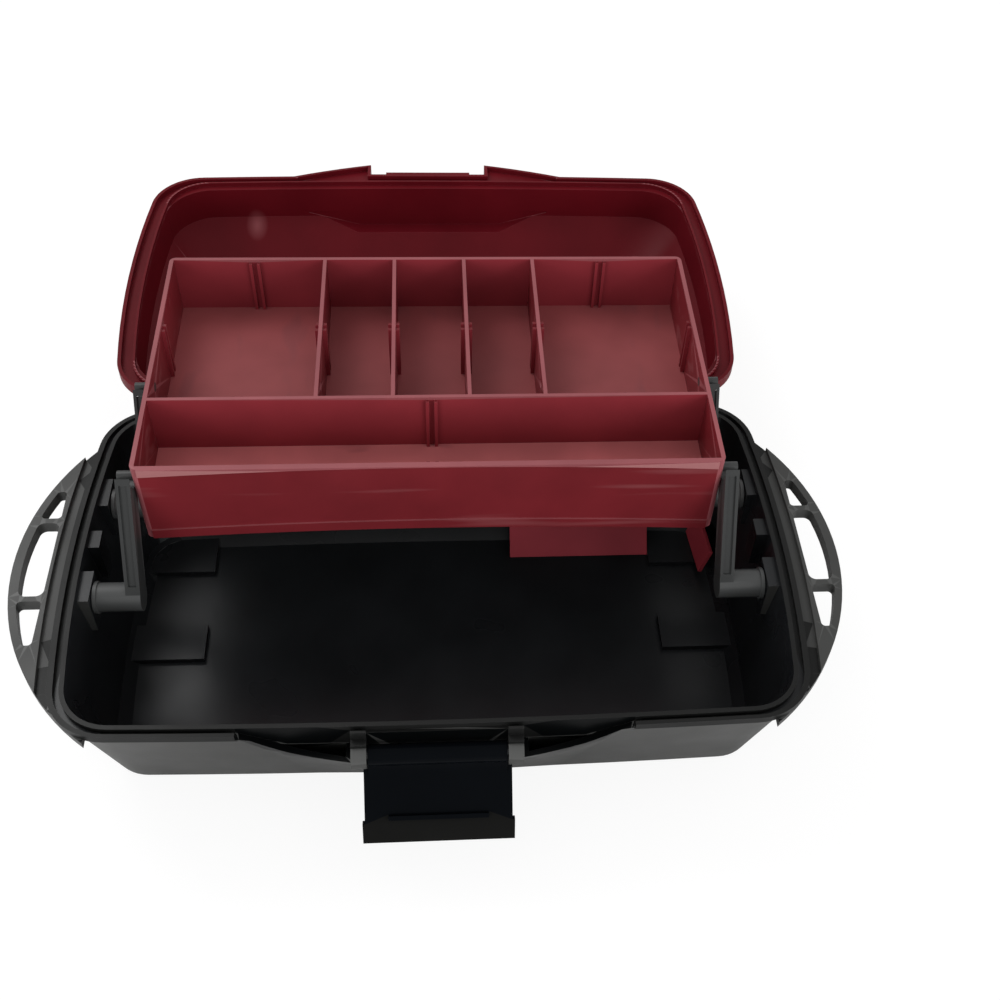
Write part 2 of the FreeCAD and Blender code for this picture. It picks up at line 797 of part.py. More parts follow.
def make_lid_shell():
    flange = plate_between("lid_flange", lid_lip_edge, lid_flange_top, lid_half_x, lid_half_y,
                           lid_corner)
    apron = extrude("apron", apron_outline("apron_outline", lid_lip_edge, zero),
                    lid_flange_top - lid_lip_edge)
    lip_room = plate_between("lip_room", lid_lip_edge - s.overrun, lid_rim,
                             lid_half_x - s.lid_lip_thick, lid_half_y - s.lid_lip_thick,
                             lid_corner - s.lid_lip_thick)
    apron_room = extrude("apron_room", apron_outline("apron_room_outline",
                                                     lid_lip_edge - s.overrun, s.lid_lip_thick),
                         lid_rim - lid_lip_edge + s.overrun)
    seat = box("latch_seat", (-s.seat_half_width, -(lid_half_y + s.seat_proud), lid_rim),
               (s.seat_half_width, -(lid_half_y - s.lid_wall_inset - s.lid_wall_thick), tab_top))
    tab = box("latch_tab", (-s.tab_half_width, -(lid_half_y + s.seat_proud + s.tab_proud),
                            lid_lip_edge),
              (s.tab_half_width, -(lid_half_y + s.seat_proud - s.lid_lip_thick), tab_top))
    outer = fuse("lid_outer", flange, apron, seat, lid_blank("lid_skin", zero, lid_rim, lid_top))
    tongue = cut(
        "tongue",
        plate_between("tongue_outer", lid_rim - s.tongue_tall, lid_rim + s.lid_flange_thick,
                      (lip_half_x + groove_half_x + s.tongue_thick) / 2,
                      (lip_half_y + groove_half_y + s.tongue_thick) / 2,
                      (lip_corner + groove_corner + s.tongue_thick) / 2),
        plate_between("tongue_inner", lid_rim - s.tongue_tall - s.overrun,
                      lid_rim + s.lid_flange_thick + s.overrun,
                      (lip_half_x + groove_half_x - s.tongue_thick) / 2,
                      (lip_half_y + groove_half_y - s.tongue_thick) / 2,
                      (lip_corner + groove_corner - s.tongue_thick) / 2))
    inner = lid_blank("lid_inside", s.lid_wall_thick, lid_rim - s.overrun,
                      lid_top - s.lid_wall_thick)
    knuckle_half = s.lid_knuckle_half
    start, stop = s.hinge_place - knuckle_half, s.hinge_place + knuckle_half
    radius = s.knuckle_radius
    web = extrude("knuckle_web", outline("knuckle_web_outline", "YZ", start, [
        (lid_half_y - s.lid_lip_thick, lid_lip_edge),
        (s.hinge_back - radius, lid_lip_edge),
        (s.hinge_back - radius, hinge_height),
        (s.hinge_back + radius, hinge_height),
        (s.hinge_back + radius / 2, lid_rim),
        (s.hinge_back - radius / 2, lid_flange_top),
        (lid_half_y - s.lid_lip_thick, lid_flange_top),
    ]), stop - start)
    knuckle = fuse("knuckle_right", web,
                   rod("knuckle_round", start, stop, s.hinge_back, hinge_height, radius))
    knuckles = both_sides("knuckles", knuckle)
    knuckle_holes = both_sides("knuckle_holes", rod(
        "knuckle_hole", start - s.overrun, stop + s.overrun, s.hinge_back, hinge_height,
        s.hinge_pin_radius + bore_gap))

    # ears for the carrying handle
    ear_low = s.handle_half_width - s.handle_leg_width - s.rest_gap - s.handle_ear_thick
    ear_high = ear_low + s.handle_ear_thick
    ear = fuse(
        "handle_ear",
        rod("handle_ear_round", ear_low, ear_high, zero, handle_axis, s.handle_ear_radius),
        box("handle_ear_foot", (ear_low, -s.handle_ear_radius, lid_top - s.lid_wall_thick),
            (ear_high, s.handle_ear_radius, handle_axis)))
    ears = both_sides("handle_ears", ear)
    pin_holes = both_sides("handle_ear_holes", rod(
        "handle_ear_hole", ear_low - s.overrun, ear_high + s.overrun, zero, handle_axis,
        s.handle_pin_radius + bore_gap))

    shell = cut("lid_hollow", outer, lip_room, apron_room, inner)
    shell = fuse("lid_whole", shell, tongue, tab, knuckles, ears)
    return flip_open(cut("lid", shell, knuckle_holes, pin_holes))


def make_carrying_handle():
    """A grip between two legs, folded flat on the lid."""
    wide = s.handle_half_width
    low = lid_top + s.handle_gap
    high = low + s.handle_thick
    front = s.handle_leg + s.handle_bar / 2
    round_end = s.handle_thick / 2
    loop = box("handle_block", (-wide, -front, low), (wide, zero, high))
    inner = wide - s.handle_leg_width
    ends = both_sides("handle_ends", rod("handle_end", inner, wide, zero, handle_axis, round_end))
    gap = box("handle_opening", (-inner, -(front - s.handle_bar), low - s.overrun),
              (inner, round_end + s.overrun, high + s.overrun))
    blank = cut("handle_blank", fuse("handle_body", loop, ends), gap)
    holes = both_sides("handle_holes", rod(
        "handle_hole", inner - s.overrun, wide - s.handle_leg_width / 3, zero, handle_axis,
        s.handle_pin_radius + bore_gap))
    return flip_open(cut("handle", blank, holes))


def make_handle_pin(side):
    start = s.handle_half_width - s.handle_leg_width - s.rest_gap - s.handle_ear_thick
    stop = s.handle_half_width - s.handle_leg_width / 3 - s.rest_gap
    name = "pin_" + side
    if side == "left":
        start, stop = -stop, -start
    return rod(name, start, stop, s.hinge_back * 2, hinge_height * 2 - handle_axis,
               s.handle_pin_radius)


def make_hinge_pin(side):
    reach = s.lid_knuckle_half + s.knuckle_gap + s.tub_knuckle_length
    start, stop = s.hinge_place - reach, s.hinge_place + reach
    if side == "left":
        start, stop = -stop, -start
    return rod("hinge_pin_" + side, start, stop, s.hinge_back, hinge_height, s.hinge_pin_radius)


def make_latch():
    """A barrel on its pin and a plate that hangs forwards and down."""
    ahead, down = -s.latch_reach / latch_length, -s.latch_fall / latch_length

    def spot(along, off):
        return (along * ahead - off * down - s.latch_axis,
                along * down + off * ahead + s.latch_height)

    near, far = s.latch_offset, s.latch_offset + s.latch_thick
    rib_end = latch_length - s.latch_rib_from_end
    rib_start = rib_end - s.latch_rib_thick
    rib_top = near - s.latch_rib_proud
    plate = extrude("latch_plate", outline("latch_plate_outline", "YZ", -s.latch_half_width, [
        spot(s.lug_radius + s.rest_gap, near),
        spot(latch_length, near),
        spot(latch_length, far),
        spot(s.lug_radius + s.rest_gap, far),
    ]), s.latch_half_width * 2)
    turn_along, turn_off = s.latch_lip_along, s.latch_lip_turn
    turn_long = hypotenuse(turn_along, turn_off)
    skin_along = -s.latch_thick * turn_off / turn_long
    skin_off = s.latch_thick * turn_along / turn_long
    lip = extrude("latch_lip", outline("latch_lip_outline", "YZ", -s.latch_lip_half, [
        spot(latch_length, near),
        spot(latch_length + turn_along, near + turn_off),
        spot(latch_length + turn_along + skin_along, near + turn_off + skin_off),
        spot(latch_length + skin_along, near + skin_off),
    ]), s.latch_lip_half * 2)
    neck = extrude("latch_neck", outline("latch_neck_outline", "YZ", -s.latch_barrel_half, [
        spot(zero, zero),
        spot(s.lug_radius + s.overrun, near),
        spot(s.lug_radius + s.overrun, far),
        spot(zero, s.latch_barrel_radius),
    ]), s.latch_barrel_half * 2)
    rib = extrude("latch_rib", outline("latch_rib_outline", "YZ", -s.latch_rib_half, [
        spot(rib_start, near + s.latch_thick / 2),
        spot(rib_start, rib_top),
        spot(rib_end, rib_top),
        spot(rib_end, near + s.latch_thick / 2),
    ]), s.latch_rib_half * 2)
    barrel = rod("latch_barrel", -s.latch_barrel_half, s.latch_barrel_half, -s.latch_axis,
                 s.latch_height, s.latch_barrel_radius)
    hole = rod("latch_hole", -s.latch_barrel_half - s.overrun, s.latch_barrel_half + s.overrun,
               -s.latch_axis, s.latch_height, s.latch_pin_radius + bore_gap)
    return cut("latch_piece", fuse("latch_blank", plate, lip, neck, rib, barrel), hole)


def make_latch_pin():
    return rod("latch_rod", -s.latch_bay_half, s.latch_bay_half, -s.latch_axis, s.latch_height,
               s.latch_pin_radius)


tray_low = rim_top + s.tray_lift
tray_rim = tray_low + s.tray_tall
tray_back = s.tray_front + s.tray_depth
tray_floor_top = tray_rim - s.tray_pocket
tray_pivot_height = tray_rim - s.tray_pivot_drop
middle_wall = s.tray_front + s.front_row_depth


def rounded_block(name, low, high, half_x, front, back, corner):
    """An upright block with round corners."""
    corners = [
        (half_x - corner, front, corner), (half_x, front + corner),
        (half_x, back - corner, corner), (half_x - corner, back),
        (corner - half_x, back, corner), (-half_x, back - corner),
        (-half_x, front + corner, corner), (corner - half_x, front),
    ]
    return extrude(name, outline(name + "_outline", "XY", low, corners), high - low)


def make_tray():
    wall = s.tray_wall
    inner_half = s.tray_half_length - wall
    block = rounded_block("tray_block", tray_low, tray_rim, s.tray_half_length, s.tray_front,
                          tray_back, s.tray_corner)
    arch_radius = (s.tray_half_length * s.tray_half_length + s.tray_arch * s.tray_arch) / (
        s.tray_arch * 2)
    proud = s.tray_band_proud

    def strip(name, low, high, low_arch, high_arch):
        """A raised strip across the front, with arched edges."""
        half = s.tray_half_length - s.tray_corner
        corners = [
            (-half, low, -arch_radius) if low_arch else (-half, low),
            (half, low),
            (half, high, arch_radius) if high_arch else (half, high),
            (-half, high),
        ]
        return extrude(name, outline(name + "_outline", "XZ", s.tray_front + wall / 2, corners),
                       proud + wall / 2)

    band = strip("tray_band", tray_rim - s.tray_band, tray_rim, True, False)
    bead = strip("tray_bead", tray_low, tray_low + s.tray_bead, False, True)
    arch = extrude("tray_arch", outline("tray_arch_outline", "XZ", tray_back + s.overrun, [
        (-s.tray_half_length, tray_low - s.overrun),
        (s.tray_half_length, tray_low - s.overrun),
        (s.tray_half_length, tray_low, arch_radius),
        (-s.tray_half_length, tray_low),
    ]), s.tray_depth + s.overrun * 3)
    heel = extrude("tray_heel", outline("tray_heel_outline", "YZ", -s.tray_half_length - s.overrun, [
        (tray_back - s.tray_skirt_run, tray_low - s.overrun),
        (tray_back + s.overrun, tray_low - s.overrun),
        (tray_back + s.overrun, tray_low + s.tray_skirt_rise),
        (tray_back, tray_low + s.tray_skirt_rise),
        (tray_back - s.tray_skirt_run, tray_low),
    ]), (s.tray_half_length + s.overrun) * 2)
    under = rounded_block("tray_under", tray_low - s.overrun, tray_floor_top - s.tray_floor,
                          inner_half, s.tray_front + wall, tray_back - wall, s.tray_corner / 2)

    def pocket(name, low_x, high_x, low_y, high_y):
        return box(name, (low_x, low_y, tray_floor_top), (high_x, high_y, tray_rim + s.overrun))

    half = s.divider_wall / 2
    edges = [-inner_half, -s.divider_outer, -s.divider_inner, s.divider_inner, s.divider_outer,
             inner_half]
    pockets = [pocket("pocket_front", -inner_half, inner_half, s.tray_front + wall,
                      middle_wall - half)]
    for number, (left, right) in enumerate(zip(edges, edges[1:])):
        low_x = left if number == 0 else left + half
        high_x = right if number == len(edges) - 2 else right - half
        pockets.append(pocket("pocket_%d" % number, low_x, high_x, middle_wall + half,
                              tray_back - wall))
    rail_top = tray_rim - s.rail_low
    rail_low_z = tray_floor_top - s.tray_floor / 2
    reach = s.rail_gap / 2 + s.rail_thick

    def rails(name, x, y, along_x, toward):
        """Two ribs that hold the edge of a loose divider."""
        pieces = []
        for number, side in enumerate((-1, 1)):
            near = s.rail_gap / 2 * side
            far = reach * side
            first, last = (near, far) if side > 0 else (far, near)
            root = -s.rail_thick / 2 if toward > 0 else -s.rail_proud
            tip = s.rail_proud if toward > 0 else s.rail_thick / 2
            if along_x:
                low = (x + root, y + first, rail_low_z)
                high = (x + tip, y + last, rail_top)
            else:
                low = (x + first, y + root, rail_low_z)
                high = (x + last, y + tip, rail_top)
            pieces.append(box("%s_%d" % (name, number), low, high))
        return fuse(name, *pieces)

    cross = s.tray_front + s.rail_cross_place
    guides = [
        rails("rails_middle", zero, middle_wall - half, False, -1),
        rails("rails_front", zero, s.tray_front + wall, False, 1),
    ]
    right_guides = fuse(
        "rails_right",
        rails("rails_back", s.rail_side_place, tray_back - wall, False, -1),
        rails("rails_back_foot", s.rail_side_place, middle_wall + half, False, 1),
        rails("rails_end", inner_half, cross, True, -1),
        rails("rails_outer", s.divider_outer + half, cross, True, 1),
        rails("rails_outer_back", s.divider_outer - half, cross, True, -1),
        rails("rails_inner", s.divider_inner + half, cross, True, 1),
        rails("rails_inner_back", s.divider_inner - half, cross, True, -1))
    guides.append(both_sides("rails_both", right_guides))
    holes = []
    for number, place in enumerate((zero, s.boss_distance)):
        holes.append(rod("pin_hole_%d" % number, -s.tray_half_length - s.overrun,
                         s.tray_half_length + s.overrun,
                         s.tray_front + s.tray_pivot_in + place, tray_pivot_height,
                         s.tray_pin_radius + bore_gap))
    shell = cut("tray_shell", fuse("tray_solid", block, band, bead), under, arch, heel, *pockets)
    return cut("tray_piece", fuse("tray_full", shell, *guides), *holes)


def make_arm(side, number):
    """A channelled arm with its boss below and its pin hole above."""
    name = "%s_%d" % (side, number)
    low_y = s.boss_front + s.boss_distance * number
    high_y = s.tray_front + s.tray_pivot_in + s.boss_distance * number
    lean_y, lean_z = high_y - low_y, tray_pivot_height - boss_height
    length = hypotenuse(lean_y, lean_z)
    ahead_y, ahead_z = lean_y / length, lean_z / length
    start = s.tray_half_length + s.arm_gap
    stop = start + s.arm_thick

    def link(part, low_x, tall, half_width, foot, head):
        """A long slot shape between two points of the arm's middle line."""
        corners = []
        for place, hand in ((foot, -1), (head, -1), (head, 1), (foot, 1)):
            y = low_y + ahead_y * place + ahead_z * half_width * hand
            z = boss_height + ahead_z * place - ahead_y * half_width * hand
            corners.append((y, z))
        corners[1] = (*corners[1], HALF_TURN_LEFT)
        corners[3] = (*corners[3], HALF_TURN_LEFT)
        drawing = outline("%s_%s_outline" % (part, name), "YZ", low_x, corners)
        return extrude("%s_%s" % (part, name), drawing, tall)

    bar = link("bar", start, s.arm_thick, s.arm_half_width, zero, length)
    channel = []
    inner, outer = s.arm_half_width - s.arm_channel, s.arm_half_width + s.overrun
    foot, head = s.boss_radius, length - s.arm_head_wall
    for place, off in ((foot, inner), (head, inner), (head, outer), (foot, outer)):
        channel.append((low_y + ahead_y * place - ahead_z * off,
                        boss_height + ahead_z * place + ahead_y * off))
    hollow = extrude("hollow_" + name, outline(
        "hollow_outline_" + name, "YZ", start + s.arm_wall, channel),
        s.arm_thick - s.arm_wall * 2)
    boss_end = socket_face - s.socket_gap
    boss = rod("boss_" + name, start, boss_end, low_y, boss_height, s.boss_radius)
    ring = rod("ring_" + name, boss_end - s.collar_ring_thick, boss_end, low_y, boss_height,
               s.collar_ring_radius)
    journal = rod("journal_" + name, boss_end - s.overrun, boss_end + s.journal_length, low_y,
                  boss_height, s.journal_radius)
    pin_hole = rod("arm_hole_" + name, start - s.overrun, stop + s.overrun, high_y,
                   tray_pivot_height, s.tray_pin_radius + bore_gap)
    arm = cut("arm_" + name, fuse("arm_blank_" + name, cut("arm_bar_" + name, bar, hollow),
                                  boss, ring, journal), pin_hole)
    if side == "left":
        arm = mirror_x("arm_mirrored_" + name, arm)
    return arm


def make_tray_pin(side, number):
    """A push-in pin through the arm's upper end into the tray's end wall."""
    name = "tray_pin_%s_%d" % (side, number)
    y = s.tray_front + s.tray_pivot_in + s.boss_distance * number
    start = s.tray_half_length - s.tray_wall
    stop = s.tray_half_length + s.arm_gap + s.arm_thick
    pin = rod(name, start, stop, y, tray_pivot_height, s.tray_pin_radius)
    if side == "left":
        pin = mirror_x(name + "_mirrored", pin)
    return pin


def leaning(foot_gap, slope, tall):
    """Height reached by a plate of a given height that leans on a sloping wall."""
    steep = slope * slope + as_size(1)
    inside = foot_gap * slope * foot_gap * slope - steep * (foot_gap * foot_gap - tall * tall)
    return (square_root(inside) - foot_gap * slope) / steep


def make_divider_plate():
    """A loose divider that has slid down and leans on the tub's back wall."""
    slope = wall_slope(floor_half_y, s.mouth_half_depth)
    floor = s.floor_thick + s.rest_gap
    bay = s.tray_half_length - s.tray_wall - s.divider_outer - s.divider_wall / 2
    half = bay / 2 - s.plate_play
    far = s.plate_place + half
    bow = far * far / (s.side_bow_radius * 2)
    gap = floor_half_y - bow - s.rest_gap - s.plate_foot - s.plate_thick
    rise = leaning(gap, slope, s.plate_tall)
    run = gap + slope * rise
    out_y, out_z = s.plate_thick * rise / s.plate_tall, -s.plate_thick * run / s.plate_tall
    lift = -out_z
    drawing = outline("plate_outline", "YZ", s.plate_place - half, [
        (s.plate_foot, floor + lift),
        (s.plate_foot + out_y, floor),
        (s.plate_foot + out_y + run, floor + rise),
        (s.plate_foot + run, floor + rise + lift),
    ])
    return extrude("plate", drawing, half * 2)


def make_small_divider_plate():
    """A low divider that stands on the rear pad and leans towards the end wall."""
    tall, lean = s.small_plate_tall, s.small_plate_lean
    rise = square_root(tall * tall - lean * lean)
    skin_x, skin_z = s.plate_thick * rise / tall, -s.plate_thick * lean / tall
    drawing = outline("small_plate_outline", "XZ", zero, [
        (zero, -skin_z),
        (skin_x, zero),
        (skin_x + lean, rise),
        (lean, rise - skin_z),
    ])
    plate = extrude("small_plate", drawing, s.plate_tall, backwards=True)
    plate.Placement = Placement(Vector(), Rotation(Vector(0, 0, 1), s.small_plate_turn.number))
    bind(plate, "Placement.Rotation.Angle", s.small_plate_turn)
    return put(plate, s.small_plate_place, s.small_plate_foot,
               s.floor_thick + s.pad_tall + s.rest_gap)


keep("base_tub", make_base_tub())
keep("lid_shell", make_lid_shell())
keep("carrying_handle", make_carrying_handle())
keep("latch", make_latch())
keep("latch_pin", make_latch_pin())
keep("tray", make_tray())
for side in ("left", "right"):
    keep("lid_hinge_pin_" + side, make_hinge_pin(side))
    keep("handle_pin_" + side, make_handle_pin(side))
    for number, end in enumerate(("front", "rear")):
        keep("arm_%s_%s" % (end, side), make_arm(side, number))
        keep("tray_pin_%s_%s" % (end, side), make_tray_pin(side, number))
keep("divider_plate_long", make_divider_plate())
keep("divider_plate_short", make_small_divider_plate())

document.recompute()
faults = [thing.Name for thing in document.Objects
          if "Invalid" in thing.State or "Error" in thing.State]
for name, thing in nodes.items():
    if thing.Shape.isNull() or not thing.Shape.isValid():
        faults.append(name)
if faults:
    raise RuntimeError("not built: " + ", ".join(faults))

os.makedirs("parts", exist_ok=True)
for name, thing in nodes.items():
    thing.Shape.exportStep("parts/%s.step" % name)
    bounds = thing.Shape.BoundBox
    print("%-24s solids %d  volume %9.1f  x %.1f..%.1f  y %.1f..%.1f  z %.1f..%.1f" % (
        name, len(thing.Shape.Solids), thing.Shape.Volume, bounds.XMin, bounds.XMax,
        bounds.YMin, bounds.YMax, bounds.ZMin, bounds.ZMax))
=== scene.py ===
import bpy
import math

from mathutils import Matrix, Vector


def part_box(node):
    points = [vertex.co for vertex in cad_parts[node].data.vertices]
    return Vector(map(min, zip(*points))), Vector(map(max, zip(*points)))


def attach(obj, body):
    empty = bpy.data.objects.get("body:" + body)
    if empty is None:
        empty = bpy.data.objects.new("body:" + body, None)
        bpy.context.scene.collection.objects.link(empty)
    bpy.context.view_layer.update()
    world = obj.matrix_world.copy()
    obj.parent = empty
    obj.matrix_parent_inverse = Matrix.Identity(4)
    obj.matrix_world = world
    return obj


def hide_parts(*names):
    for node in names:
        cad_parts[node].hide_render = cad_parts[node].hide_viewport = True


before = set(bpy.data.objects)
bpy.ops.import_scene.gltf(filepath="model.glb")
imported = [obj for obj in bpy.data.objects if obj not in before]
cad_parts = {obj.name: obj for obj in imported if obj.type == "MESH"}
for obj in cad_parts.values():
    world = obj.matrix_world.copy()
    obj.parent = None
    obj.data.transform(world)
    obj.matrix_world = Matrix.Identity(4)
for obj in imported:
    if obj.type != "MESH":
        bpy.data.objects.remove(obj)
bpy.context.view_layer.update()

# The camera of the photograph: a square picture, places in metres
CAMERA_PLACE = (0.0008, -0.3655, 0.5205)
CAMERA_YAW = math.radians(6.51)
CAMERA_PITCH = math.radians(-49.34)
CAMERA_ROLL = math.radians(3.89)
FOCAL_PIXELS = 1252.2
FRAME_PIXELS = 1000
CENTRE_PIXEL = (528.35, 525.38)
SENSOR = 36.0


def make_camera():
    """The camera that sees the box as the photograph does."""
    forward = Vector((math.sin(CAMERA_YAW) * math.cos(CAMERA_PITCH),
                      math.cos(CAMERA_YAW) * math.cos(CAMERA_PITCH),
                      math.sin(CAMERA_PITCH)))
    level_right = forward.cross(Vector((0, 0, 1))).normalized()
    level_up = level_right.cross(forward)
    right = level_right * math.cos(CAMERA_ROLL) + level_up * math.sin(CAMERA_ROLL)
    up = level_up * math.cos(CAMERA_ROLL) - level_right * math.sin(CAMERA_ROLL)
    data = bpy.data.cameras.new("photo_camera")
    data.sensor_width = SENSOR
    data.lens = SENSOR * FOCAL_PIXELS / FRAME_PIXELS
    data.shift_x = (FRAME_PIXELS / 2 - CENTRE_PIXEL[0]) / FRAME_PIXELS
    data.shift_y = (CENTRE_PIXEL[1] - FRAME_PIXELS / 2) / FRAME_PIXELS
    camera = bpy.data.objects.new("photo_camera", data)
    turn = Matrix((right, up, -forward)).transposed().to_4x4()
    camera.matrix_world = Matrix.Translation(CAMERA_PLACE) @ turn
    bpy.context.scene.collection.objects.link(camera)
    bpy.context.scene.camera = camera


# ---- plastics and metal

# Noise scales, per metre of the piece
TONE_SCALE = 28.0
GLOSS_SCALE = 17.0
SCRATCH_SCALE = 60.0
GRAIN_SCALE = 900.0
GRAIN_DEPTH = 0.0004

NOISE_MIDDLE = (0.3, 0.7)
GLOSS_SPREAD = (0.85, 1.2)
SCRATCH_RAMP = (0.60, 0.68)
SCRATCH_STRENGTH = 0.6


def wire(material, source, socket, target, target_socket):
    material.node_tree.links.new(source.outputs[socket], target.inputs[target_socket])


def node(material, kind, **values):
    """A new shader node with its sockets set by name."""
    made = material.node_tree.nodes.new(kind)
    for name, value in values.items():
        made.inputs[name.replace("_", " ")].default_value = value
    return made


def new_material(name, colour, roughness, specular=0.5, metallic=0.0):
    material = bpy.data.materials.new(name)
    material.use_nodes = True
    shader = material.node_tree.nodes["Principled BSDF"]
    shader.inputs["Base Color"].default_value = (*colour, 1)
    shader.inputs["Roughness"].default_value = roughness
    shader.inputs["Specular IOR Level"].default_value = specular
    shader.inputs["Metallic"].default_value = metallic
    return material, shader


def blotches(material, place, scale, low, high):
    """Soft noise on the piece, spread between two numbers."""
    noise = node(material, "ShaderNodeTexNoise", Scale=scale, Detail=3.0)
    spread = node(material, "ShaderNodeMapRange", From_Min=NOISE_MIDDLE[0],
                  From_Max=NOISE_MIDDLE[1], To_Min=low, To_Max=high)
    wire(material, place, "Object", noise, "Vector")
    wire(material, noise, "Fac", spread, "Value")
    return spread


def colour_mix(material, factor, socket, colour):
    """A mix towards a colour, by a node's output."""
    mix = material.node_tree.nodes.new("ShaderNodeMix")
    mix.data_type = "RGBA"
    mix.inputs["B"].default_value = (*colour, 1)
    wire(material, factor, socket, mix, "Factor")
    return mix


def covered(material, below, factor, socket, colour):
    """A colour laid over what a node gives, where the factor says so."""
    mix = colour_mix(material, factor, socket, colour)
    wire(material, below, "Result", mix, "A")
    return mix


def scratch_lines(material, place, stretch):
    """Fine lines along one direction of the piece."""
    stretched = node(material, "ShaderNodeMapping", Scale=stretch)
    wire(material, place, "Object", stretched, "Vector")
    lines = node(material, "ShaderNodeTexNoise", Scale=SCRATCH_SCALE, Detail=2.0)
    wire(material, stretched, "Vector", lines, "Vector")
    thin = material.node_tree.nodes.new("ShaderNodeValToRGB")
    first, last = thin.color_ramp.elements
    first.position, last.position = SCRATCH_RAMP
    first.color = (0, 0, 0, 1)
    last.color = (SCRATCH_STRENGTH, SCRATCH_STRENGTH, SCRATCH_STRENGTH, 1)
    wire(material, lines, "Fac", thin, "Fac")
    return thin


def scuff_spot(material, place, centre, size):
    """A soft worn spot round a place of the piece."""
    moved = node(material, "ShaderNodeMapping",
                 Location=tuple(-c / part for c, part in zip(centre, size)),
                 Scale=tuple(1 / part for part in size))
    wire(material, place, "Object", moved, "Vector")
    ball = material.node_tree.nodes.new("ShaderNodeTexGradient")
    ball.gradient_type = "SPHERICAL"
    wire(material, moved, "Vector", ball, "Vector")
    return ball


def calculated(material, operation):
    made = material.node_tree.nodes.new("ShaderNodeMath")
    made.operation = operation
    return made


def front_band(material, place, low, behind):
    """1 above a height and in front of a plane, 0 elsewhere."""
    parts = material.node_tree.nodes.new("ShaderNodeSeparateXYZ")
    wire(material, place, "Object", parts, "Vector")
    above = calculated(material, "GREATER_THAN")
    above.inputs[1].default_value = low
    wire(material, parts, "Z", above, 0)
    before = calculated(material, "LESS_THAN")
    before.inputs[1].default_value = behind
    wire(material, parts, "Y", before, 0)
    both = calculated(material, "MULTIPLY")
    wire(material, above, "Value", both, 0)
    wire(material, before, "Value", both, 1)
    return both


def moulded_plastic(name, colour, roughness, specular=0.5, worn=1.25, grain=0.06,
                    scratches=None, scuff=None, band=None):
    """Satin plastic: a little uneven in tone and gloss, with a fine moulded grain."""
    material, shader = new_material(name, colour, roughness, specular)
    place = material.node_tree.nodes.new("ShaderNodeTexCoord")
    tone = blotches(material, place, TONE_SCALE, 0.0, 1.0)
    last = colour_mix(material, tone, "Result", tuple(part * worn for part in colour))
    last.inputs["A"].default_value = (*colour, 1)
    if scratches:
        lines = scratch_lines(material, place, scratches)
        last = covered(material, last, lines, "Color", SCRATCH)
    if scuff:
        centre, size, scuff_colour = scuff
        ball = scuff_spot(material, place, centre, size)
        last = covered(material, last, ball, "Fac", scuff_colour)
    if band:
        low, behind, band_colour = band
        inside = front_band(material, place, low, behind)
        last = covered(material, last, inside, "Value", band_colour)
    wire(material, last, "Result", shader, "Base Color")
    gloss = blotches(material, place, GLOSS_SCALE,
                     *(roughness * share for share in GLOSS_SPREAD))
    wire(material, gloss, "Result", shader, "Roughness")
    fine = node(material, "ShaderNodeTexNoise", Scale=GRAIN_SCALE, Detail=2.0)
    wire(material, place, "Object", fine, "Vector")
    bump = node(material, "ShaderNodeBump", Strength=grain, Distance=GRAIN_DEPTH)
    wire(material, fine, "Fac", bump, "Height")
    wire(material, bump, "Normal", shader, "Normal")
    return material


MAROON = (0.118, 0.0052, 0.0098)
# Painted highlight: paler red for the lid's round edges that face up
MAROON_EDGE_HIGHLIGHT = (0.240, 0.0600, 0.0700)
MAROON_SCUFF = (0.30, 0.08, 0.09)
TRAY_RED = (0.165, 0.0160, 0.0215)
# Painted highlight and wear: paler pink for the tray's rim and round edges
TRAY_EDGE_HIGHLIGHT_AND_WEAR = (0.280, 0.0750, 0.0850)
TRAY_BAND = (0.420, 0.1700, 0.1750)
# Painted light: brighter red for the tray's inner walls that face the front
TRAY_WALL_LIT = (0.250, 0.0300, 0.0400)
# Painted light: lighter red for the tray's floors, which face up
TRAY_FLOOR_LIT = (0.290, 0.0700, 0.0740)
# Painted light: lighter red still for the front row's floor, against the front wall's shade
FRONT_ROW_FLOOR_LIT = (0.520, 0.1450, 0.1500)
SCRATCH = (0.270, 0.0750, 0.0820)
DIVIDER_RED = (0.360, 0.0400, 0.0560)
BLACK_OUTSIDE = (0.034, 0.0345, 0.0330)
BLACK_RIM = (0.0070, 0.0072, 0.0070)
# Painted highlight: lighter grey for the tub's round edges that face up
BLACK_EDGE_HIGHLIGHT = (0.060, 0.0610, 0.0590)
BLACK_INSIDE = (0.0078, 0.0084, 0.0094)
# Painted shade: near black for the recesses in front
BLACK_RECESS_SHADE = (0.0015, 0.0018, 0.0020)
# Painted light: a lighter black for the tub's floor
TUB_FLOOR_LIT = (0.0125, 0.0135, 0.0150)
# Painted reflection: a paler sheen for the tub's inner back wall
TUB_BACK_SHEEN = (0.030, 0.0345, 0.0345)
ARM_GREY = (0.024, 0.0255, 0.0255)
# Painted highlight: lighter grey for the arms' round edges
ARM_EDGE_HIGHLIGHT = (0.050, 0.052, 0.052)
LATCH_BLACK = (0.0022, 0.0028, 0.0038)
LATCH_LIP = (0.0055, 0.0055, 0.0052)
HANDLE_BLACK = (0.020, 0.020, 0.020)
PIN_GREY = (0.030, 0.032, 0.032)
STEEL_GREY = (0.50, 0.50, 0.51)

SCUFF_PLACE = (-0.107, 0.296, 0.040)
SCUFF_SIZE = (0.007, 0.011, 0.010)

# The paler band along the top of the tray's front wall
TRAY_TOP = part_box("tray")[1][2]
TRAY_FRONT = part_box("tray")[0][1]
BAND_TALL = 0.0046
BAND_DEEP = 0.0006

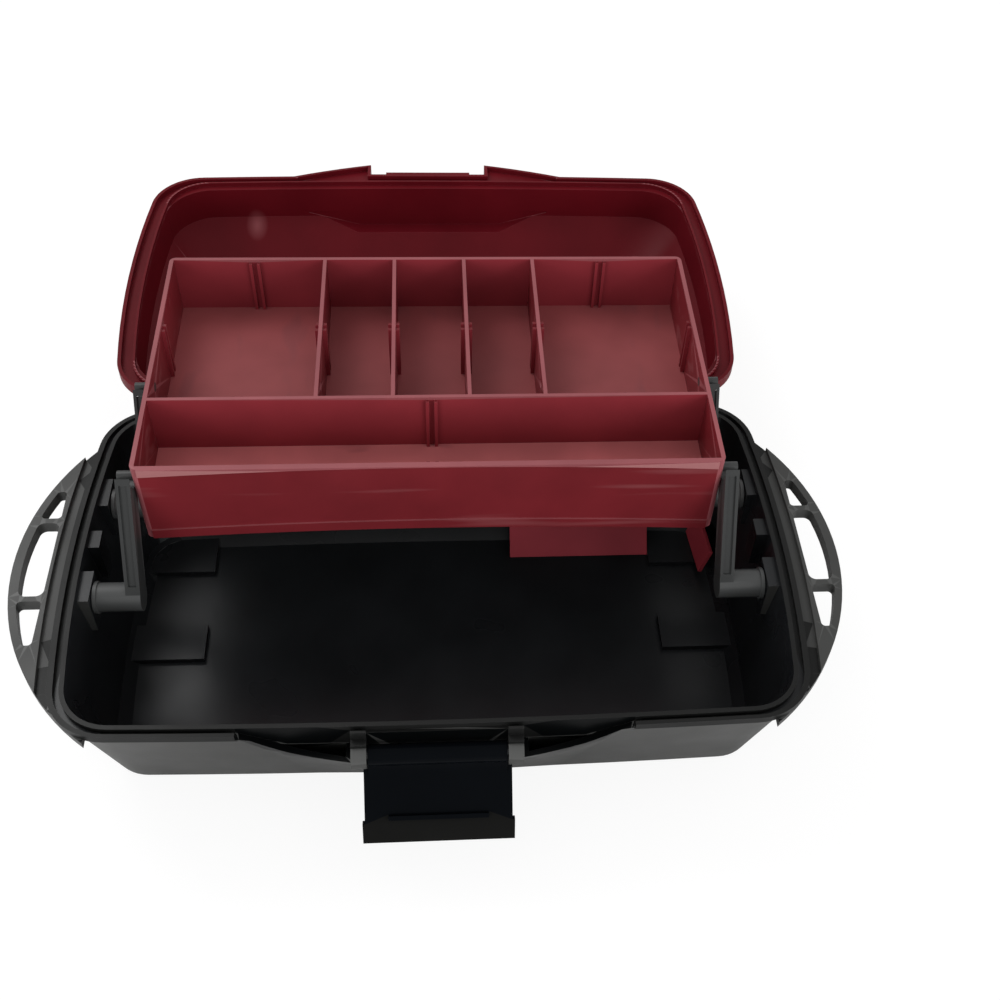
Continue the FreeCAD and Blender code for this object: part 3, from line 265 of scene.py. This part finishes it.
plastics = {
    "tub_outside": moulded_plastic("tub_outside_plastic", BLACK_OUTSIDE, 0.45, grain=0.12),
    "tub_rim": moulded_plastic("tub_rim_plastic", BLACK_RIM, 0.40, specular=0.22),
    "tub_edge": moulded_plastic("tub_edge_plastic", BLACK_EDGE_HIGHLIGHT, 0.38),
    "tub_inside": moulded_plastic("tub_inside_plastic", BLACK_INSIDE, 0.28, specular=0.30,
                                  worn=1.6),
    "tub_floor": moulded_plastic("tub_floor_plastic", TUB_FLOOR_LIT, 0.30, specular=0.30,
                                 worn=1.5),
    "tub_back": moulded_plastic("tub_back_plastic", TUB_BACK_SHEEN, 0.30, specular=0.30),
    "tub_recess": moulded_plastic("tub_recess_plastic", BLACK_RECESS_SHADE, 0.30, specular=0.08),
    "lid": moulded_plastic("lid_plastic", MAROON, 0.42, specular=0.10, grain=0.08,
                           scuff=(SCUFF_PLACE, SCUFF_SIZE, MAROON_SCUFF)),
    "lid_edge": moulded_plastic("lid_edge_plastic", MAROON_EDGE_HIGHLIGHT, 0.42, specular=0.2),
    "tray": moulded_plastic("tray_plastic", TRAY_RED, 0.38, specular=0.22,
                            scratches=(0.10, 1.0, 1.8),
                            band=(TRAY_TOP - BAND_TALL, TRAY_FRONT + BAND_DEEP, TRAY_BAND)),
    "tray_wall": moulded_plastic("tray_wall_plastic", TRAY_WALL_LIT, 0.40, specular=0.15),
    "tray_edge": moulded_plastic("tray_edge_plastic", TRAY_EDGE_HIGHLIGHT_AND_WEAR, 0.45, specular=0.3),
    "tray_floor": moulded_plastic("tray_floor_plastic", TRAY_FLOOR_LIT, 0.42, specular=0.15,
                                  scratches=(1.0, 0.35, 1.0)),
    "front_row_floor": moulded_plastic("front_row_floor_plastic", FRONT_ROW_FLOOR_LIT, 0.42,
                                       specular=0.15, scratches=(0.35, 1.0, 1.0)),
    "arm": moulded_plastic("arm_plastic", ARM_GREY, 0.48, specular=0.35, grain=0.10),
    "arm_edge": moulded_plastic("arm_edge_plastic", ARM_EDGE_HIGHLIGHT, 0.45),
    "latch": moulded_plastic("latch_plastic", LATCH_BLACK, 0.14, specular=0.03, grain=0.02),
    "latch_lip": moulded_plastic("latch_lip_plastic", LATCH_LIP, 0.35, specular=0.05),
    "handle": moulded_plastic("handle_plastic", HANDLE_BLACK, 0.45, grain=0.12),
    "pin": moulded_plastic("pin_plastic_finish", PIN_GREY, 0.42),
    "divider": moulded_plastic("divider_plastic", DIVIDER_RED, 0.36, specular=0.12),
}
plastics["steel"], _ = new_material("drawn_wire", STEEL_GREY, 0.30, metallic=1.0)


# ---- softened copies of the solids

MERGE = 0.00002
FLAT = math.radians(0.05)
SHARP = math.radians(28)
SMOOTH = math.radians(32)
ROUND_STEPS = 2
FLATS_FIRST = 100

# Widths of the round edges
SHELL_EDGE = 0.0005
THIN_EDGE = 0.0003
PART_EDGE = 0.0004
GRIP_EDGE = 0.0015


def only(thing):
    bpy.ops.object.select_all(action="DESELECT")
    thing.select_set(True)
    bpy.context.view_layer.objects.active = thing


def softened(node_name, piece_name, body, finish, edge):
    """A copy of a solid with small round edges, shown in its place."""
    only(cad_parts[node_name])
    bpy.ops.object.duplicate()
    piece = bpy.context.active_object
    piece.name = piece_name
    piece.data.name = piece_name
    bpy.ops.object.mode_set(mode="EDIT")
    bpy.ops.mesh.select_all(action="SELECT")
    bpy.ops.mesh.remove_doubles(threshold=MERGE)
    bpy.ops.mesh.dissolve_limited(angle_limit=FLAT)
    # A flat ring would be filled across its hole, so many-cornered faces are cut up first
    bpy.ops.mesh.quads_convert_to_tris(quad_method="BEAUTY", ngon_method="BEAUTY")
    bpy.ops.object.mode_set(mode="OBJECT")
    piece.data.materials.clear()
    piece.data.materials.append(plastics[finish])
    bevel = piece.modifiers.new("round_edges", "BEVEL")
    bevel.width = edge
    bevel.segments = ROUND_STEPS
    bevel.limit_method = "ANGLE"
    bevel.angle_limit = SHARP
    bpy.ops.object.modifier_apply(modifier=bevel.name)
    bpy.ops.object.shade_smooth_by_angle(angle=SMOOTH)
    weigh = piece.modifiers.new("flat_faces_first", "WEIGHTED_NORMAL")
    weigh.keep_sharp = True
    weigh.weight = FLATS_FIRST
    bpy.ops.object.modifier_apply(modifier=weigh.name)
    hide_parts(node_name)
    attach(piece, body)
    return piece


def add_finish(piece, finish):
    piece.data.materials.append(plastics[finish])
    return len(piece.data.materials) - 1


def repaint(piece, finish, wanted):
    """Give the faces that pass a test their own finish."""
    number = add_finish(piece, finish)
    for face in piece.data.polygons:
        if wanted(face.center, face.normal):
            face.material_index = number


STRIP = 0.00045


def repaint_edges(piece, finish, wanted):
    """Give the narrow strips of the round edges their own lighter finish: painted highlight,
    and on the tray's rim also wear.
    """
    number = add_finish(piece, finish)
    spots = piece.data.vertices
    for face in piece.data.polygons:
        corners = [spots[index].co for index in face.vertices]
        round_length = sum((b - a).length for a, b in zip(corners, corners[1:] + corners[:1]))
        if 2 * face.area < STRIP * round_length and wanted(face.center, face.normal):
            face.material_index = number


# ---- the tub

# Half length, half depth and height of the tub's cavity, and the height of its floor
CAVITY = (0.1576, 0.0909, 0.0759)
CAVITY_FLOOR = 0.0024
# Half sizes of the middle of the cavity, away from the rounded corners
CAVITY_MIDDLE = (0.140, 0.060)
BACK_WALL = 0.060
RIM_LOW = 0.0720
RIM_HALF = 0.1650
# The two recesses in front, painted near black as shade, and the bay between the latch's
# lugs, painted darker as shade
RECESS_HALF = 0.0822
RECESS_WALL = (-0.0975, -0.0915)
RECESS_HEIGHT = (0.055, 0.0762)
LEDGE_FRONT = -0.0926
LEDGE_LOW = 0.060
BAY_HALF = 0.0460
BAY_FRONT = -0.0880
BAY_LOW = 0.0660
TUB_EDGE_LOW = 0.003


def inside_tub(spot, normal):
    if not (abs(spot.x) <= CAVITY[0] and abs(spot.y) <= CAVITY[1]
            and CAVITY_FLOOR <= spot.z <= CAVITY[2]):
        return False
    inwards = -(normal.x * spot.x + normal.y * spot.y)
    in_middle = abs(spot.x) < CAVITY_MIDDLE[0] and abs(spot.y) < CAVITY_MIDDLE[1]
    return inwards > 0 or normal.z > 0.5 or in_middle


def on_tub_floor(spot, normal):
    return inside_tub(spot, normal) and normal.z > 0.9


def on_tub_back(spot, normal):
    return inside_tub(spot, normal) and normal.y < -0.7 and spot.y > BACK_WALL


def on_tub_rim(spot, normal):
    return spot.z > RIM_LOW and abs(spot.x) < RIM_HALF and not inside_tub(spot, normal)


def in_recess(spot, normal):
    wall = (RECESS_WALL[0] < spot.y < RECESS_WALL[1]
            and RECESS_HEIGHT[0] < spot.z < RECESS_HEIGHT[1]
            and abs(normal.z) < 0.9 and normal.y < 0.3)
    ledge = spot.y < LEDGE_FRONT and spot.z > LEDGE_LOW and normal.z > 0.6
    return abs(spot.x) < RECESS_HALF and (wall or ledge)


def in_latch_bay(spot, normal):
    return abs(spot.x) < BAY_HALF and spot.y < BAY_FRONT and spot.z > BAY_LOW


def on_tub_edge(spot, normal):
    return normal.z > 0.3 and spot.z > TUB_EDGE_LOW


tub = softened("base_tub", "tub_shell_piece", "tub", "tub_outside", SHELL_EDGE)
repaint(tub, "tub_inside", inside_tub)
# Painted light: the tub's floor, facing up, is a lighter copy of the inside's black
repaint(tub, "tub_floor", on_tub_floor)
# Painted reflection: a paler sheen on the tub's inner back wall
repaint(tub, "tub_back", on_tub_back)
repaint(tub, "tub_rim", on_tub_rim)
# Painted shade: the two recesses in front are painted near black
repaint(tub, "tub_recess", in_recess)
# Painted shade: the bay between the latch's lugs takes the rim's darker finish
repaint(tub, "tub_rim", in_latch_bay)
# Painted highlight: the tub's narrow round edges that face up are a lighter grey
repaint_edges(tub, "tub_edge", on_tub_edge)


# ---- the lid, the tray and the latch

LID_EDGE_LOW = 0.030
FRONT_WALL_DEEP = 0.010
TRAY_WALL_TALL = 0.012
TRAY_EDGE_TALL = 0.0006
FRONT_ROW_BACK = 0.052
LATCH_LIP_TALL = 0.0118


def on_lid_edge(spot, normal):
    return normal.z > 0.1 and spot.z > LID_EDGE_LOW


def on_tray_wall(spot, normal):
    return normal.y < -0.7 and spot.y > TRAY_FRONT + FRONT_WALL_DEEP


def on_tray_floor(spot, normal):
    return normal.z > 0.9 and spot.z < TRAY_TOP - TRAY_WALL_TALL


def on_front_row_floor(spot, normal):
    return on_tray_floor(spot, normal) and spot.y < FRONT_ROW_BACK


def on_tray_top(spot, normal):
    return spot.z > TRAY_TOP - TRAY_EDGE_TALL


def on_tray_edge(spot, normal):
    return normal.z > -0.2


lid = softened("lid_shell", "lid_shell_piece", "lid", "lid", SHELL_EDGE)
# Painted highlight: the lid's narrow round edges that face up are painted a paler red
repaint_edges(lid, "lid_edge", on_lid_edge)
tray = softened("tray", "tray_piece", "tray", "tray", THIN_EDGE)
# Painted light: the tray's inner walls that face the front are a brighter copy of its red
repaint(tray, "tray_wall", on_tray_wall)
# Painted light: the tray's floors, facing up, are a lighter copy of its red
repaint(tray, "tray_floor", on_tray_floor)
# Painted light: the front row's floor is painted lighter still, against the shade of the
# front wall
repaint(tray, "front_row_floor", on_front_row_floor)
# Painted highlight and wear: the tray's rim top and its round edges that do not face down are
# paler
repaint(tray, "tray_edge", on_tray_top)
repaint_edges(tray, "tray_edge", on_tray_edge)
latch = softened("latch", "latch_piece", "latch", "latch", PART_EDGE)
LATCH_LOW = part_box("latch")[0][2]


def on_latch_lip(spot, normal):
    return (spot.z < LATCH_LOW + LATCH_LIP_TALL and abs(normal.x) < 0.5
            and normal.y < -0.2)


repaint(latch, "latch_lip", on_latch_lip)


# ---- the handle, the arms, the pins and the divider plates

def on_arm_edge(spot, normal):
    return normal.z > -0.3


softened("carrying_handle", "handle_piece", "handle", "handle", GRIP_EDGE)
for place in ("front", "rear"):
    for side in ("left", "right"):
        arm = "arm_%s_%s" % (place, side)
        swinging = softened(arm, arm + "_piece", arm, "arm", PART_EDGE)
        # Painted highlight: the arms' narrow round edges that do not face down are a lighter
        # grey
        repaint_edges(swinging, "arm_edge", on_arm_edge)
        pin = "tray_pin_%s_%s" % (place, side)
        softened(pin, pin + "_piece", arm, "pin", PART_EDGE)
for side in ("left", "right"):
    softened("lid_hinge_pin_" + side, "lid_hinge_wire_" + side, "tub", "steel",
             THIN_EDGE)
    softened("handle_pin_" + side, "handle_pin_%s_piece" % side, "lid", "pin",
             THIN_EDGE)
softened("latch_pin", "latch_wire", "tub", "steel", THIN_EDGE)
for length in ("long", "short"):
    softened("divider_plate_" + length, "divider_%s_piece" % length, "tub",
             "divider", THIN_EDGE)


# ---- studio

FLOOR_SIZE = 8
FLOOR_WHITE = 0.86
FLOOR_SHADE = 0.20
WORLD_LIGHT = 0.62
WINDOW_PLACE = (-0.9, 0.9, 1.6)
WINDOW_AIM = (0, 0.05, 0.05)
WINDOW_POWER = 10
ROOM_PLACE = (1.25, -1.25, 0.55)
ROOM_AIM = (0, -0.05, 0.05)
ROOM_LEFT_POWER = 7
ROOM_RIGHT_POWER = 11
LAMP_SIZE = 0.9


def white_floor():
    """A white floor that looks white to the camera, with only a faint shadow."""
    bpy.ops.object.select_all(action="DESELECT")
    bpy.ops.mesh.primitive_plane_add(size=FLOOR_SIZE, location=(0, 0, 0))
    floor = bpy.context.active_object
    floor.name = "floor"
    material, lit = new_material("floor_white", (FLOOR_WHITE,) * 3, 0.9, specular=0.0)
    seen = node(material, "ShaderNodeBsdfPrincipled", Roughness=0.9, Specular_IOR_Level=0.0,
                Base_Color=(FLOOR_SHADE, FLOOR_SHADE, FLOOR_SHADE, 1),
                Emission_Color=(1, 1, 1, 1), Emission_Strength=FLOOR_WHITE)
    path = node(material, "ShaderNodeLightPath")
    mix = node(material, "ShaderNodeMixShader")
    wire(material, path, "Is Camera Ray", mix, 0)
    wire(material, lit, "BSDF", mix, 1)
    wire(material, seen, "BSDF", mix, 2)
    wire(material, mix, "Shader", material.node_tree.nodes["Material Output"], "Surface")
    floor.data.materials.append(material)


def studio_world():
    """Even light from all round, and pure white where the camera sees past the floor."""
    world = bpy.data.worlds.new("studio")
    bpy.context.scene.world = world
    world.use_nodes = True
    back = world.node_tree.nodes["Background"]
    back.inputs["Color"].default_value = (1, 1, 1, 1)
    back.inputs["Strength"].default_value = WORLD_LIGHT
    bright = node(world, "ShaderNodeBackground", Strength=1.0)
    path = node(world, "ShaderNodeLightPath")
    mix = node(world, "ShaderNodeMixShader")
    wire(world, path, "Is Camera Ray", mix, 0)
    wire(world, back, 0, mix, 1)
    wire(world, bright, 0, mix, 2)
    wire(world, mix, 0, world.node_tree.nodes["World Output"], "Surface")


def lamp(name, place, aim, power):
    bpy.ops.object.light_add(type="AREA", location=place)
    light = bpy.context.active_object
    light.name = name
    light.data.size = LAMP_SIZE
    light.data.energy = power
    light.rotation_euler = (Vector(aim) - Vector(place)).to_track_quat("-Z", "Y").to_euler()


make_camera()
white_floor()
studio_world()
lamp("window", WINDOW_PLACE, WINDOW_AIM, WINDOW_POWER)
lamp("room_left", (-ROOM_PLACE[0], *ROOM_PLACE[1:]), ROOM_AIM, ROOM_LEFT_POWER)
lamp("room_right", ROOM_PLACE, ROOM_AIM, ROOM_RIGHT_POWER)
bpy.context.scene.view_settings.view_transform = "Standard"
